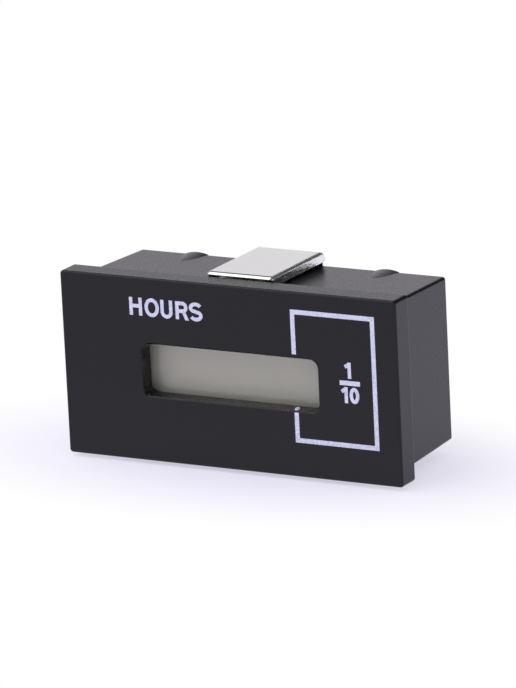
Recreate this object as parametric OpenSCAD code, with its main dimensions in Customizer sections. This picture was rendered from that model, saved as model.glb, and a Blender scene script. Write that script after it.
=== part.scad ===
// Panel hour meter with a blank liquid-crystal display, held in its panel by a slide-on sheet clip.
// Origin: centre of the panel seat, the bezel's back face. The face looks along -Y, +Z is up.

/* [Bezel] */
// Width of the front bezel
bezel_w = 48; // [47:0.5:60]
// Height of the front bezel
bezel_h = 24; // [23.5:0.5:30]
// Thickness of the bezel, from its face to the panel seat
bezel_t = 3.5; // [3:0.1:6]
// Corner radius of the bezel, seen from the front
bezel_corner_r = 0.45; // [0.4:0.05:2]
// Rounding of the bezel's front and back edges
bezel_edge_r = 0.3; // [0.1:0.05:0.4]

/* [Body] */
// Width of the body at the panel seat
body_w = 44.8; // [43.5:0.1:46]
// Height of the body at the panel seat
body_h = 22; // [21:0.1:22.6]
// Depth of the body behind the panel seat
body_depth = 14; // [13.5:0.5:30]
// Mould draft of each side, over the body's whole depth
body_draft = 0.35; // [0.1:0.05:0.5]
// Corner radius of the body, seen from behind
body_corner_r = 0.4; // [0.35:0.05:1.5]
// Rounding of the body's rear edges
body_rear_r = 0.35; // [0.1:0.05:0.4]
// Thickness of the side walls at the rear
wall = 1.5; // [1.2:0.1:1.8]
// Thickness of the front wall, from the face to the window plate
face_wall = 2.3; // [1.5:0.1:3]

/* [Window] */
// Width of the window opening
window_w = 25.3; // [20:0.1:28]
// Height of the window opening
window_h = 6.85; // [5:0.05:9]
// Corner radius of the window opening
window_r = 1.2; // [0.5:0.1:2]
// Bevel around the window opening, at the face
window_bevel = 0.15; // [0.05:0.05:0.4]

/* [Display] */
// Width of the display glass and of the window plate
glass_w = 30; // [28.5:0.5:34]
// Height of the front glass and of the window plate
glass_h = 14; // [13:0.5:15]
// Thickness of each display glass
glass_t = 0.7; // [0.5:0.1:1.1]
// Thickness of the front film and of the rear reflector
film_t = 0.2; // [0.1:0.05:0.3]
// How far the films stay inside the glass edge
film_margin = 0.5; // [0.2:0.1:1]
// Thickness of the clear window plate
plate_t = 1; // [0.8:0.1:1.5]
// Height of the contact ledge at the top and bottom of the front glass
contact_ledge = 2.6; // [2.4:0.1:2.8]
// Thickness of a contact strip, measured upwards
strip_t = 1.4; // [1:0.1:1.6]
// Distance from the display's back to the board
board_standoff = 2.7; // [2.4:0.1:4]

/* [Board] */
// Thickness of the circuit board
board_t = 1.2; // [0.8:0.1:1.6]
// Diameter of the backup cell
cell_d = 16; // [12:0.5:16]
// Thickness of the backup cell
cell_t = 3.2; // [1.6:0.1:3.4]
// Diameter of the filter capacitor
capacitor_d = 5; // [4:0.1:5.5]
// Height of the filter capacitor with its base
capacitor_h = 5.4; // [4:0.1:5.8]
// Body length of a dropper resistor
resistor_l = 6.3; // [4:0.1:6.5]
// Body diameter of a dropper resistor
resistor_d = 2.2; // [1.6:0.1:2.4]

/* [Terminals] */
// Distance between the two blade terminals
terminal_pitch = 24; // [22.5:0.5:25]
// Width of a blade
blade_w = 6.3; // [4.8:0.1:6.3]
// Thickness of a blade
blade_t = 0.8; // [0.5:0.1:0.8]
// How far a blade stands out behind the rear cover
blade_reach = 8; // [7:0.5:12]
// Diameter of the detent hole in a blade
blade_hole_d = 1.8; // [1.4:0.1:2]
// Distance from a blade's tip to the centre of its hole
blade_hole_back = 4; // [3.5:0.1:4.5]

/* [Rear cover] */
// Thickness of the rear cover
cover_t = 2; // [1.8:0.1:2.5]
// Width of the ledge in the case that the cover seats on
cover_ledge = 0.6; // [0.4:0.1:0.8]
// Distance between the two upper latch lugs, and between the two lower ones
latch_pitch = 27.6; // [20:0.2:32]
// Width of a latch lug
latch_w = 2.4; // [2:0.1:4]
// Depth of a latch lug, front to back
latch_l = 1; // [0.8:0.1:1.1]
// Distance from the cover's inner face to a latch lug
latch_setback = 0.3; // [0.2:0.05:0.35]
// How far a lug reaches into the case wall
latch_catch = 0.45; // [0.3:0.05:0.5]
// Width of the bulge of the case wall over a lug, at the rear rim
bulge_w = 3.2; // [2.5:0.1:4.5]
// Height of the bulge, at the rear rim
bulge_rise = 0.25; // [0.2:0.05:0.5]
// Length of the bulge, from its tip to the rear rim
bulge_l = 4; // [2.5:0.1:6]
// Diameter of the posts that press the board home
post_d = 2; // [1.6:0.1:2.4]

/* [Mounting clip] */
// Thickness of the clip's sheet
sheet_t = 0.35; // [0.25:0.05:0.35]
// Width of an arm's flat, and of the bridge behind the body
clip_flat_w = 8.6; // [6:0.1:12]
// Outer radius of the bends along an arm's long edges
clip_roll_r = 0.4; // [0.4:0.05:1.3]
// Height of an arm's outer face above the body at the panel seat
clip_rise = 1.5; // [1.4:0.05:2]
// Outer radius of the bends between the arms and the bridge
clip_bend_r = 1.3; // [1:0.1:2]
// Outer radius of the lip rolled down at an arm's front edge
clip_lip_r = 0.65; // [0.5:0.05:1]
// Angle that the lip is rolled down by
clip_lip_turn = 60; // [45:5:90]
// Gap between the panel seat and the arms' front lips
clip_front_gap = 0.2; // [0.1:0.05:3]
// Gap between the rear cover and the bridge
clip_rear_gap = 0.25; // [0.2:0.05:1]
// Gap between the arms' flanges and the body at the panel seat
clip_foot_gap = 0.15; // [0.1:0.05:0.2]

/* [Hidden] */
$fn = 48;
// Facets of the rounded corners that are blended into flat sides
blend_fn = 32;
// Facets of the full circle that a bulge's round back belongs to
bulge_fn = 180;
// Overshoot of cuts past the faces they open
over = 1;

// Clearance of a part in the pocket that locates it
pocket_clear = 0.1;
// Clearance of the board, holder and cover in the case
case_clear = 0.15;
// Clearance of a lead or leg in its hole
lead_clear = 0.05;
// Smallest distance between parts on the board
part_gap = 0.5;

// Stations along Y, from the face to the rear
inner_y = face_wall - bezel_t;
film_y = inner_y + plate_t;
front_glass_y = film_y + film_t;
rear_glass_y = front_glass_y + glass_t;
reflector_y = rear_glass_y + glass_t;
display_back_y = reflector_y + film_t;
board_y = display_back_y + board_standoff;
board_back_y = board_y + board_t;
rear_y = body_depth;
cover_y = rear_y - cover_t;
body_root = bezel_t / 2;
body_root_t = 0.01;

// Widths and heights of the body, of the space in it and of the cover's seat
draft_slope = body_draft / body_depth;
rear_w = body_w - 2 * body_draft;
rear_h = body_h - 2 * body_draft;
inner_w = rear_w - 2 * wall;
inner_h = rear_h - 2 * wall;
seat_w = inner_w + 2 * cover_ledge;
seat_h = inner_h + 2 * cover_ledge;
cover_w = seat_w - 2 * case_clear;
cover_h = seat_h - 2 * case_clear;

// Display, contact strips and holder
rear_glass_h = glass_h - 2 * contact_ledge;
strip_edge = 0.4;
strip_end = 1;
strip_w = glass_w - 2 * strip_end;
strip_z = glass_h / 2 - strip_edge - strip_t / 2;
holder_lip = 0.7;

// Board and the parts on it
board_w = inner_w - 2 * case_clear;
board_h = inner_h - 2 * case_clear;
terminal_x = terminal_pitch / 2;
post_inset = 0.4;
post_x = inner_w / 2 - post_inset - post_d / 2;
post_z = inner_h / 2 - post_inset - post_d / 2;
dome_d = 5.6;
dome_rise = 1.2;
dome_x = -1.5;
dome_r = (pow(dome_d / 2, 2) + pow(dome_rise, 2)) / (2 * dome_rise);
crystal_d = 2;
crystal_l = 6;
crystal_x = 8.5;
crystal_lift = 0.05;
crystal_y = board_y - crystal_d / 2 - crystal_lift;
pin_d = 0.35;
pin_run = 0.8;
pin_z = 0.45;
chip_l = 2;
chip_w = 1.25;
chip_t = 0.6;
chip_end = 0.4;
chip_inset = 0.05;
chip_step = chip_w + part_gap;
pull_up_x = dome_x - dome_d / 2 - part_gap - chip_l / 2;
crystal_row_z = crystal_d / 2 + part_gap + chip_w / 2;
lead_d = 0.6;
lead_bend_r = 0.8;
lead_run = 0.6;
lead_edge = 1;
lead_x = resistor_l / 2 + lead_run + lead_bend_r;
resistor_x = lead_edge + lead_d / 2 + lead_x - board_w / 2;
resistor_z = post_z - post_d / 2 - part_gap - resistor_d / 2;
resistor_lift = 0.2;
resistor_y = board_back_y + resistor_lift + resistor_d / 2;
resistor_bulge_l = 1.3;
resistor_waist = 0.15;
capacitor_base_rim = 0.15;
capacitor_base = capacitor_d + 2 * capacitor_base_rim;
capacitor_base_t = 0.8;
capacitor_groove_r = 0.3;
capacitor_groove_lift = 1.2;
capacitor_groove_y = capacitor_base_t + capacitor_groove_lift;
capacitor_x = terminal_x + blade_t / 2 + part_gap + capacitor_base / 2;
capacitor_z = post_z - post_d / 2 - part_gap - capacitor_base / 2;
rectifier_w = 4.7;
rectifier_l = 3.8;
rectifier_h = 2.4;
rectifier_span = 5.4;
rectifier_foot = 0.6;
rectifier_leg_t = 0.25;
rectifier_leg_step = 2.5;
rectifier_x = terminal_x + blade_t / 2 + part_gap + rectifier_w / 2;
rectifier_z = -(post_z - post_d / 2 - part_gap - rectifier_span / 2);
tab_t = 0.2;
tab_w = 3;
tab_foot = 1;
cell_gap = 0.5;
cell_lift = cell_gap + tab_t;
cell_cap_inset = 1.2;
cell_cap_t = 0.3;
cell_rim_r = 0.3;
cell_y = board_back_y + cell_lift;
tab_x = cell_d / 2 + part_gap;
leg_w = 1.2;
leg_z = blade_w / 2 - leg_w / 2;
blade_tip_y = rear_y + blade_reach;
blade_chamfer = 1.2;
blade_bevel = 1;
blade_tip_t = blade_t / 2;

// Latch lugs of the cover, and the bulges of the case over them
latch_x = latch_pitch / 2;
latch_y = cover_y + latch_setback + latch_l / 2;
latch_z = seat_h / 2 + latch_catch;
bulge_top_z = rear_h / 2 + bulge_rise;
bulge_tip_z = rear_h / 2 + draft_slope * bulge_l;
bulge_tilt = atan((bulge_top_z - bulge_tip_z) / bulge_l);
bulge_r = (pow(bulge_w / 2, 2) + pow(bulge_rise, 2)) / (2 * bulge_rise);

// Mounting clip
clip_w = clip_flat_w + 2 * clip_roll_r;
arm_z = body_h / 2 + clip_rise;
foot_z = body_h / 2 + clip_foot_gap;
lip_y = clip_front_gap + clip_lip_r * sin(clip_lip_turn);
bend_y = rear_y + clip_rear_gap + sheet_t - clip_bend_r;

// Shared shapes

// A flat outline in X and Z, made solid from y0 to y1
module along_y(y0, y1) {
    translate([0, y1, 0])
        rotate([90, 0, 0])
            linear_extrude(y1 - y0)
                children();
}

// A flat outline in Y and Z, made solid over a width centred on X = 0
module across_x(width) {
    rotate([90, 0, 90])
        translate([0, 0, -width / 2])
            linear_extrude(width)
                children();
}

// A block centred on X and Z, from y0 to y1
module slab(w, h, y0, y1) {
    translate([-w / 2, y0, -h / 2])
        cube([w, y1 - y0, h]);
}

module rounded_outline(w, h, r) {
    square([w - 2 * r, h], center = true);
    square([w, h - 2 * r], center = true);
    for (x = [-1, 1], z = [-1, 1])
        translate([x * (w / 2 - r), z * (h / 2 - r)])
            circle(r);
}

// The four corner centres of a w by h outline with corner radius r
module at_corners(w, h, r) {
    for (x = [-1, 1], z = [-1, 1])
        translate([x * (w / 2 - r), 0, z * (h / 2 - r)])
            children();
}

// A disc across Y with a round rim
module soft_rim(r, edge_r) {
    rotate([90, 0, 0])
        rotate_extrude($fn = blend_fn)
            intersection() {
                translate([r - edge_r, 0])
                    circle(edge_r, $fn = blend_fn);
                translate([0, -edge_r])
                    square([r, 2 * edge_r]);
            }
}

// Front case

module bezel_block() {
    hull()
        at_corners(bezel_w, bezel_h, bezel_corner_r)
            for (y = [bezel_edge_r - bezel_t, -bezel_edge_r])
                translate([0, y, 0])
                    soft_rim(bezel_corner_r, bezel_edge_r);
}

// Body with mould draft, wider at the bezel than at the rear
module body_block() {
    root_grow = 2 * draft_slope * body_root;
    hull() {
        at_corners(body_w + root_grow, body_h + root_grow, body_corner_r)
            translate([0, -body_root, 0])
                rotate([90, 0, 0])
                    cylinder(r = body_corner_r, h = body_root_t, $fn = blend_fn);
        at_corners(rear_w, rear_h, body_corner_r)
            translate([0, rear_y - body_rear_r, 0])
                soft_rim(body_corner_r, body_rear_r);
    }
}

module window_cut() {
    along_y(-bezel_t - over, inner_y + over)
        rounded_outline(window_w, window_h, window_r);
    hull() {
        along_y(-bezel_t - over, -bezel_t)
            rounded_outline(
                window_w + 2 * window_bevel, window_h + 2 * window_bevel, window_r, $fn = blend_fn
            );
        along_y(-bezel_t, -bezel_t + window_bevel)
            rounded_outline(window_w, window_h, window_r, $fn = blend_fn);
    }
}

// A bulge of the upper wall over a lug: a round back that sinks into the wall towards the panel
module latch_bulge() {
    intersection() {
        translate([0, rear_y, bulge_top_z])
            rotate([bulge_tilt, 0, 0])
                translate([0, 0, -bulge_r])
                    rotate([90, 0, 0])
                        cylinder(r = bulge_r, h = 2 * bulge_l, center = true, $fn = bulge_fn);
        translate([-bulge_w / 2, rear_y - bulge_l, seat_h / 2])
            cube([bulge_w, bulge_l, wall + bulge_rise]);
    }
}

// Pockets near the rear rim, in the upper and the lower wall, that the cover's lugs snap into
module latch_pockets() {
    for (x = [-1, 1])
        translate([x * latch_x, 0, 0])
            slab(
                latch_w + 2 * pocket_clear, 2 * (latch_z + pocket_clear),
                latch_y - latch_l / 2 - pocket_clear, latch_y + latch_l / 2 + pocket_clear
            );
}

module front_case() {
    color("#323135")
        difference() {
            union() {
                bezel_block();
                body_block();
                for (x = [-1, 1], z = [0, 1])
                    translate([x * latch_x, 0, 0])
                        mirror([0, 0, z])
                            latch_bulge();
            }
            window_cut();
            slab(inner_w, inner_h, inner_y, cover_y + over);
            slab(seat_w, seat_h, cover_y, rear_y + over);
            latch_pockets();
        }
}

// Display stack

module display_window() {
    color("#E8EEF0")
        slab(glass_w, glass_h, inner_y, film_y);
}

module display_film() {
    color("#A3A199")
        slab(glass_w - 2 * film_margin, glass_h - 2 * film_margin, film_y, front_glass_y);
}

module display_front_glass() {
    color("#B9C1BC")
        slab(glass_w, glass_h, front_glass_y, rear_glass_y);
}

module display_rear_glass() {
    color("#AEB6B1")
        slab(glass_w, rear_glass_h, rear_glass_y, reflector_y);
}

module display_reflector() {
    color("#96938D")
        slab(glass_w - 2 * film_margin, rear_glass_h - 2 * film_margin, reflector_y, display_back_y);
}

// Frame that keeps plate, glass and contact strips in line, from the front wall to the board
module display_holder() {
    pocket_w = glass_w + 2 * pocket_clear;
    color("#D8D8D4")
        difference() {
            slab(inner_w - 2 * case_clear, inner_h - 2 * case_clear, inner_y, board_y);
            slab(pocket_w, glass_h + 2 * pocket_clear, inner_y - over, rear_glass_y);
            slab(pocket_w, rear_glass_h + 2 * pocket_clear, rear_glass_y - over, display_back_y);
            slab(glass_w - 2 * holder_lip, rear_glass_h - 2 * holder_lip, inner_y, board_y + over);
            for (z = [-1, 1])
                translate([0, 0, z * strip_z])
                    slab(strip_w + 2 * pocket_clear, strip_t + 2 * pocket_clear, inner_y, board_y + over);
        }
}

module contact_strip(side) {
    color("#C58A8F")
        translate([0, 0, side * strip_z])
            slab(strip_w, strip_t, rear_glass_y, board_y);
}

module upper_contact_strip() {
    contact_strip(1);
}

module lower_contact_strip() {
    contact_strip(-1);
}

// Circuit board and the parts on it

module board_hole(x, z) {
    translate([x, board_y - over, z])
        rotate([-90, 0, 0])
            cylinder(d = lead_d + 2 * lead_clear, h = board_t + 2 * over);
}

module circuit_board() {
    color("#2F6B45")
        difference() {
            slab(board_w, board_h, board_y, board_back_y);
            for (x = [-1, 1], z = [-1, 1])
                translate([x * terminal_x, 0, z * leg_z])
                    slab(
                        blade_t + 2 * lead_clear, leg_w + 2 * lead_clear,
                        board_y - over, board_back_y + over
                    );
            for (x = [-1, 1], z = [-1, 1])
                board_hole(resistor_x + x * lead_x, z * resistor_z);
        }
}

// Glob-topped chip: a shallow dome on the board's front
module controller_chip() {
    color("#1D1D1F")
        translate([dome_x, board_y, 0])
            intersection() {
                translate([0, dome_r - dome_rise, 0])
                    rotate([90, 0, 0])
                        sphere(dome_r);
                slab(dome_d, dome_d, -dome_rise - over, 0);
            }
}

module quartz_crystal() {
    color("#C9CACD")
        translate([crystal_x, crystal_y, 0])
            union() {
                rotate([0, 90, 0])
                    cylinder(d = crystal_d, h = crystal_l, center = true);
                for (z = [-1, 1])
                    translate([-crystal_l / 2, 0, z * pin_z]) {
                        rotate([0, -90, 0])
                            cylinder(d = pin_d, h = pin_run);
                        translate([-pin_run, 0, 0])
                            sphere(d = pin_d);
                        translate([-pin_run, 0, 0])
                            rotate([-90, 0, 0])
                                cylinder(d = pin_d, h = board_y - crystal_y);
                    }
            }
}

// A chip part on the board's front: a body between two plated ends
module chip_part(x, z) {
    translate([x, 0, z])
        union() {
            slab(chip_l, chip_w - 2 * chip_inset, board_y - chip_t + chip_inset, board_y);
            for (side = [-1, 1])
                translate([side * (chip_l - chip_end) / 2, 0, 0])
                    slab(chip_end, chip_w, board_y - chip_t, board_y);
        }
}

module crystal_capacitors() {
    color("#B79B78")
        for (side = [-1, 1])
            chip_part(crystal_x, side * crystal_row_z);
}

module pull_up_resistors() {
    color("#26262A")
        for (row = [-1, 0, 1])
            chip_part(pull_up_x, row * chip_step);
}

// Coin cell, its smaller negative cap towards the board
module backup_cell() {
    can_t = cell_t - cell_cap_t;
    color("#C3C5C8")
        translate([0, cell_y, 0])
            rotate([-90, 0, 0])
                rotate_extrude() {
                    square([cell_d / 2 - cell_cap_inset, cell_t]);
                    translate([0, cell_cap_t])
                        square([cell_d / 2 - cell_rim_r, can_t]);
                    translate([0, cell_cap_t])
                        square([cell_d / 2, can_t - cell_rim_r]);
                    translate([cell_d / 2 - cell_rim_r, cell_t - cell_rim_r])
                        circle(cell_rim_r);
                }
}

// A strip from a face of the cell out past its rim, down to the board and out along it
module cell_tab(side, face_y) {
    color("#B9B6AE")
        translate([0, 0, -tab_w / 2])
            linear_extrude(tab_w)
                mirror([side < 0 ? 1 : 0, 0]) {
                    translate([0, face_y])
                        square([tab_x + tab_t, tab_t]);
                    translate([tab_x, board_back_y])
                        square([tab_t, face_y + tab_t - board_back_y]);
                    translate([tab_x, board_back_y])
                        square([tab_t + tab_foot, tab_t]);
                }
}

module cell_negative_tab() {
    cell_tab(-1, cell_y - tab_t);
}

module cell_positive_tab() {
    cell_tab(1, cell_y + cell_t);
}

// One bent lead, from the resistor's end down through the board
module resistor_lead() {
    translate([resistor_l / 2, resistor_y, 0])
        rotate([0, 90, 0])
            cylinder(d = lead_d, h = lead_run);
    translate([resistor_l / 2 + lead_run, resistor_y - lead_bend_r, 0])
        rotate_extrude(angle = 90)
            translate([lead_bend_r, 0])
                circle(d = lead_d);
    translate([lead_x, board_y, 0])
        rotate([-90, 0, 0])
            cylinder(d = lead_d, h = resistor_y - lead_bend_r - board_y);
}

// Axial resistor with bulged ends, lying along X on the board's back
module dropper_resistor(side) {
    waist_l = resistor_l - resistor_bulge_l;
    color("#9DB7C4")
        translate([resistor_x, 0, side * resistor_z])
            union() {
                translate([0, resistor_y, 0])
                    rotate([0, 90, 0])
                        union() {
                            cylinder(d = resistor_d - 2 * resistor_waist, h = waist_l, center = true);
                            for (end = [-1, 1])
                                translate([0, 0, end * waist_l / 2])
                                    cylinder(d = resistor_d, h = resistor_bulge_l, center = true);
                        }
                for (end = [0, 1])
                    mirror([end, 0, 0])
                        resistor_lead();
            }
}

module upper_dropper_resistor() {
    dropper_resistor(1);
}

module lower_dropper_resistor() {
    dropper_resistor(-1);
}

// Can with a rolled groove on a square base
module filter_capacitor() {
    color("#B4B7BB")
        translate([capacitor_x, board_back_y, capacitor_z])
            union() {
                slab(capacitor_base, capacitor_base, 0, capacitor_base_t);
                rotate([-90, 0, 0])
                    difference() {
                        cylinder(d = capacitor_d, h = capacitor_h);
                        translate([0, 0, capacitor_groove_y])
                            rotate_extrude()
                                translate([capacitor_d / 2, 0])
                                    circle(capacitor_groove_r);
                    }
            }
}

// Section of one lead, from the middle of the block out, down and out along the board
module rectifier_leg() {
    leg_rise = rectifier_h / 2;
    foot_z = rectifier_span / 2 - rectifier_foot;
    translate([0, foot_z])
        square([rectifier_leg_t, rectifier_foot]);
    translate([0, foot_z])
        square([leg_rise, rectifier_leg_t]);
    translate([leg_rise - rectifier_leg_t, 0])
        square([rectifier_leg_t, foot_z + rectifier_leg_t]);
}

// Moulded block with four bent leads
module bridge_rectifier() {
    color("#2A2A2C")
        translate([rectifier_x, board_back_y, rectifier_z])
            union() {
                slab(rectifier_w, rectifier_l, rectifier_leg_t, rectifier_h);
                for (x = [-1, 1], z = [0, 1])
                    translate([x * rectifier_leg_step / 2, 0, 0])
                        mirror([0, 0, z])
                            across_x(rectifier_foot)
                                rectifier_leg();
            }
}

// Blade terminals

module blade_outline() {
    polygon([
        [board_back_y, -blade_w / 2],
        [blade_tip_y - blade_chamfer, -blade_w / 2],
        [blade_tip_y, blade_chamfer - blade_w / 2],
        [blade_tip_y, blade_w / 2 - blade_chamfer],
        [blade_tip_y - blade_chamfer, blade_w / 2],
        [board_back_y, blade_w / 2]
    ]);
    for (z = [-1, 1])
        translate([board_y, z * leg_z - leg_w / 2])
            square([board_t + over, leg_w]);
}

// The blade's thickness, thinned at the tip for the receptacle
module blade_edge() {
    linear_extrude(blade_w + 2 * over, center = true)
        polygon([
            [-blade_t / 2, board_y],
            [blade_t / 2, board_y],
            [blade_t / 2, blade_tip_y - blade_bevel],
            [blade_tip_t / 2, blade_tip_y],
            [-blade_tip_t / 2, blade_tip_y],
            [-blade_t / 2, blade_tip_y - blade_bevel]
        ]);
}

module terminal(side) {
    color("#D7CFA8")
        translate([side * terminal_x, 0, 0])
            difference() {
                intersection() {
                    across_x(blade_t)
                        blade_outline();
                    blade_edge();
                }
                translate([0, blade_tip_y - blade_hole_back, 0])
                    rotate([0, 90, 0])
                        cylinder(d = blade_hole_d, h = blade_t + 2 * over, center = true);
            }
}

module left_terminal() {
    terminal(-1);
}

module right_terminal() {
    terminal(1);
}

// Rear cover: plate in the case's seat, lugs at its upper and lower edge, posts to the board

// A lug on the cover's upper edge: a ramp towards the panel, a steep rear face
module latch_lug() {
    root_z = cover_h / 2 - over;
    translate([0, latch_y, 0])
        across_x(latch_w)
            polygon([
                [-latch_l / 2, root_z],
                [latch_l / 2, root_z],
                [latch_l / 2, latch_z],
                [-latch_l / 2, latch_z - latch_catch]
            ]);
}

module rear_cover() {
    color("#2C2B2F")
        difference() {
            union() {
                slab(cover_w, cover_h, cover_y, rear_y);
                for (x = [-1, 1], z = [0, 1])
                    translate([x * latch_x, 0, 0])
                        mirror([0, 0, z])
                            latch_lug();
                for (x = [-1, 1], z = [-1, 1])
                    translate([x * post_x, board_back_y, z * post_z])
                        rotate([-90, 0, 0])
                            cylinder(d = post_d, h = cover_y - board_back_y + over);
            }
            for (x = [-1, 1])
                translate([x * terminal_x, 0, 0])
                    slab(
                        blade_t + 2 * pocket_clear, blade_w + 2 * pocket_clear,
                        cover_y - over, rear_y + over
                    );
        }
}

// Mounting clip: one folded sheet, an arm above and below the body and a bridge behind it

// A channel's outline: a flat top at top_z, bends of radius r along both sides, straight flanges
module channel_outline(r, top_z, foot) {
    translate([-clip_flat_w / 2, foot])
        square([clip_flat_w, top_z - foot]);
    for (side = [-1, 1])
        translate([side * clip_flat_w / 2, top_z - r])
            circle(r);
    translate([-clip_flat_w / 2 - r, foot])
        square([clip_flat_w + 2 * r, top_z - r - foot]);
}

// Section of the upper arm: a shallow channel of sheet, its flanges towards the body
module arm_section() {
    difference() {
        channel_outline(clip_roll_r, arm_z, foot_z);
        channel_outline(clip_roll_r - sheet_t, arm_z - sheet_t, foot_z - over);
        translate([-clip_w / 2, foot_z - clip_w])
            square(clip_w);
    }
}

// The upper arm's section turned by an angle at outer radius r, from the top towards the rear
module arm_turn(r, angle) {
    rotate([0, -90, 0])
        rotate_extrude(angle = angle)
            intersection() {
                rotate(-90)
                    translate([0, r - arm_z])
                        arm_section();
                translate([0, -clip_w / 2])
                    square([r, clip_w]);
            }
}

// Arm between the lip at the panel seat and the bend into the bridge, pressed as one channel
module upper_arm() {
    translate([0, lip_y, arm_z - clip_lip_r])
        mirror([0, 1, 0])
            arm_turn(clip_lip_r, clip_lip_turn);
    along_y(lip_y, bend_y)
        arm_section();
    translate([0, bend_y, arm_z - clip_bend_r])
        arm_turn(clip_bend_r, 90);
}

module mounting_clip() {
    color("#D9D7D9")
        union() {
            upper_arm();
            mirror([0, 0, 1])
                upper_arm();
            slab(
                clip_flat_w, 2 * (arm_z - clip_bend_r),
                bend_y + clip_bend_r - sheet_t, bend_y + clip_bend_r
            );
        }
}

front_case();
display_window();
display_film();
display_front_glass();
display_rear_glass();
display_reflector();
display_holder();
upper_contact_strip();
lower_contact_strip();
circuit_board();
controller_chip();
quartz_crystal();
crystal_capacitors();
pull_up_resistors();
backup_cell();
cell_negative_tab();
cell_positive_tab();
upper_dropper_resistor();
lower_dropper_resistor();
filter_capacitor();
bridge_rectifier();
left_terminal();
right_terminal();
rear_cover();
mounting_clip();
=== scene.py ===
# %% [markdown]
# A panel hour meter: a black moulded case with a recessed liquid-crystal display, printed legends and
# a bright sheet-metal clip that is pushed on from behind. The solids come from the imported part, in
# metres, with the origin at the panel seat, the face looking along -Y and +Z up. This lesson gives
# every piece its finish, prints the legends on the face and sets up the studio and the camera.

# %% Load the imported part
import math

import bmesh
import bpy
from mathutils import Matrix, Vector


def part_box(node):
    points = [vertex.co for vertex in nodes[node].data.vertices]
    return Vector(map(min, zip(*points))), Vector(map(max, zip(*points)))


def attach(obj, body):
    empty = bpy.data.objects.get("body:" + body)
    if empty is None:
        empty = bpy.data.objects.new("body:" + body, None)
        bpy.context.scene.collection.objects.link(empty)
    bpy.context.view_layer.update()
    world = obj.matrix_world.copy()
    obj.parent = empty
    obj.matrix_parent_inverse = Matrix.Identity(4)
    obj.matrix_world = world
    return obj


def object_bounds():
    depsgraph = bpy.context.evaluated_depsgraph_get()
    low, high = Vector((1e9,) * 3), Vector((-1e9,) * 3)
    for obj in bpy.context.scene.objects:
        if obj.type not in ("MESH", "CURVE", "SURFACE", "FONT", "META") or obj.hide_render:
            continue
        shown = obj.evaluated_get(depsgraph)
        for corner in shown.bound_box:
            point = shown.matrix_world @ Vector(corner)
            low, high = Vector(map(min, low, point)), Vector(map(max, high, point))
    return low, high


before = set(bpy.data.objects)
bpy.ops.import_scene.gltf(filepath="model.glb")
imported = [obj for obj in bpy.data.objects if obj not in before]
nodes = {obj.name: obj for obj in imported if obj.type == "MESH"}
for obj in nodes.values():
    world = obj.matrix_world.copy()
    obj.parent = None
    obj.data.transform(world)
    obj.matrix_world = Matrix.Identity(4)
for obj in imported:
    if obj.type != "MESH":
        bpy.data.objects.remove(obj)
cad_low, cad_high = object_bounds()
MM = 0.001
print(f"{len(nodes)} nodes, {(cad_high - cad_low) / MM} mm")

# %% [markdown]
# The camera stands where the photographer stood. Its angles and its distance were worked out from the
# four corners of the face and three corners of the body: nearly 0.8 m away with a long lens, a little
# above the meter and to its right, and tilted by a few degrees. A long lens keeps the edges almost
# parallel, which a camera close by would not.

# %% Camera
IMAGE_H = 688
FOCAL_PX = 6320
SENSOR_MM = 36
CAMERA_YAW = math.radians(29.53)
CAMERA_PITCH = math.radians(15.14)
CAMERA_ROLL = math.radians(-2.80)
CAMERA_RIGHT = 3.60 * MM
CAMERA_UP = 4.28 * MM
CAMERA_DISTANCE = 792.1 * MM

face_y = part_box("front_case")[0].y


def camera_axes(yaw, pitch, roll):
    """Right, up and backward axes of a camera that looks at the face."""
    back = Vector((
        math.sin(yaw) * math.cos(pitch),
        -math.cos(yaw) * math.cos(pitch),
        math.sin(pitch),
    ))
    level = Vector((math.cos(yaw), math.sin(yaw), 0))
    upright = back.cross(level)
    right = math.cos(roll) * level + math.sin(roll) * upright
    up = math.cos(roll) * upright - math.sin(roll) * level
    return right, up, back


right, up, back = camera_axes(CAMERA_YAW, CAMERA_PITCH, CAMERA_ROLL)
camera = bpy.data.objects.new("camera", bpy.data.cameras.new("camera"))
camera.data.sensor_width = SENSOR_MM
camera.data.lens = FOCAL_PX / IMAGE_H * SENSOR_MM
turn = Matrix((right, up, back)).transposed().to_4x4()
eye = Vector((0, face_y, 0)) + CAMERA_RIGHT * right + CAMERA_UP * up + CAMERA_DISTANCE * back
camera.matrix_world = Matrix.Translation(eye) @ turn
bpy.context.scene.collection.objects.link(camera)
bpy.context.scene.camera = camera
print(f"camera at {eye / MM} mm, lens {camera.data.lens:.1f} mm")

# %% [markdown]
# Every material below is a small tree of nodes. One function adds a node, sets its properties and
# fills or links its sockets. A second one turns the sRGB hex values that a colour picker shows into
# the linear values that the shaders use, and a third one turns a real size in millimetres into the
# scale of a pattern. A Mix node has a set of sockets for each type of data under the same names, so
# those sockets are told apart by number. A noise keeps mostly between 0.3 and 0.7.

# %% Helpers for materials
FACTOR = 0
NUMBER_A = 2
NUMBER_B = 3
COLOUR_A = 6
COLOUR_B = 7
COLOUR_OUT = 2
NOISE_LOW = 0.3
NOISE_HIGH = 0.7


def linear(hex_colour):
    """An sRGB hex colour as linear RGBA."""
    shares = [int(hex_colour[i:i + 2], 16) / 255 for i in (1, 3, 5)]
    return (*[s / 12.92 if s <= 0.04045 else ((s + 0.055) / 1.055) ** 2.4 for s in shares], 1)


def add_node(tree, kind, settings=None, sockets=None):
    """Adds a node. A socket's value is a constant, or the output that is linked to it."""
    node = tree.nodes.new(kind)
    for name, value in (settings or {}).items():
        setattr(node, name, value)
    for name, value in (sockets or {}).items():
        if isinstance(value, bpy.types.NodeSocket):
            tree.links.new(value, node.inputs[name])
        else:
            node.inputs[name].default_value = value
    return node


def scale_of(size_mm):
    """Pattern scale that gives features of about this size."""
    return 1 / (size_mm * MM)


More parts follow.
